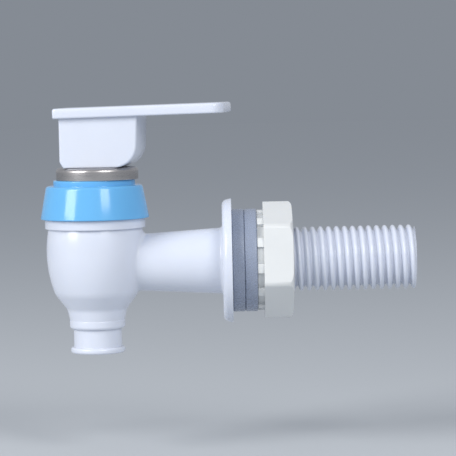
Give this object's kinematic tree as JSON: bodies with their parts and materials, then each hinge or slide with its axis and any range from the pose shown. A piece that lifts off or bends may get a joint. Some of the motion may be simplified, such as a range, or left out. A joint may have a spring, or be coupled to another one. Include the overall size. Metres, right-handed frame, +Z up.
{
  "type": "reverse osmosis tap",
  "caption": "Push-lever drinking water tap with a threaded shank, sealing washers and back nut, for the wall of a water tank.",
  "frame": {"origin": "where the shank's axis meets the flange's back face, which is the face that closes the tank hole", "axes": "+X along the shank into the tank, +Z up towards the lever, +Y away from the viewer of the picture"},
  "size_m": [0.0931, 0.031, 0.0618],
  "materials": {
    "body_plastic": "moulded polypropylene, pale cool white, glossy",
    "bonnet_plastic": "moulded plastic, light blue, glossy",
    "nut_plastic": "moulded nylon, neutral white, satin",
    "steel": "stainless steel, drawn and lightly brushed",
    "silicone": "translucent silicone rubber, pale grey blue"
  },
  "bodies": {
    "root": {"tap_body": "body_plastic", "bonnet": "bonnet_plastic", "cap_ring": "steel", "seat_cup": "silicone", "inner_washer": "silicone"},
    "spring_set": {"spring_washer": "steel", "spring": "steel"},
    "stem_set": {"stem": "body_plastic", "cross_pin": "steel"},
    "lever": {"lever": "body_plastic"},
    "clamp_washer": {"outer_washer": "silicone"},
    "back_nut": {"back_nut": "nut_plastic"}
  },
  "joints": [
    {"name": "lever_swivel", "type": "hinge", "parent": "root", "child": "spring_set", "pos_m": [-0.034, 0, 0.0175], "axis": [0, 0, 1], "continuous": true},
    {"name": "stem_lift", "type": "slide", "parent": "spring_set", "child": "stem_set", "axis": [0, 0, 1], "range_m": [0, 0.0031], "deforming": ["spring", "seat_cup"]},
    {"name": "lever_press", "type": "hinge", "parent": "stem_set", "child": "lever", "pos_m": [-0.034, 0, 0.02905], "axis": [0.134, 0.991, 0], "range_deg": [0, 27.5], "stiffness_Nm_per_rad": 0.068, "springref_deg": -57.3},
    {"name": "washer_slide", "type": "slide", "parent": "root", "child": "clamp_washer", "axis": [1, 0, 0], "range_m": [0, 0.0241]},
    {"name": "nut_turn", "type": "hinge", "parent": "clamp_washer", "child": "back_nut", "pos_m": [0.01, 0, 0], "axis": [1, 0, 0], "range_deg": [0, 4320]}
  ],
  "couplings": [
    {"joint": "stem_lift", "follows": "lever_press", "m_per_rad": 0.0064},
    {"joint": "washer_slide", "follows": "nut_turn", "m_per_rad": 0.00031831}
  ]
}
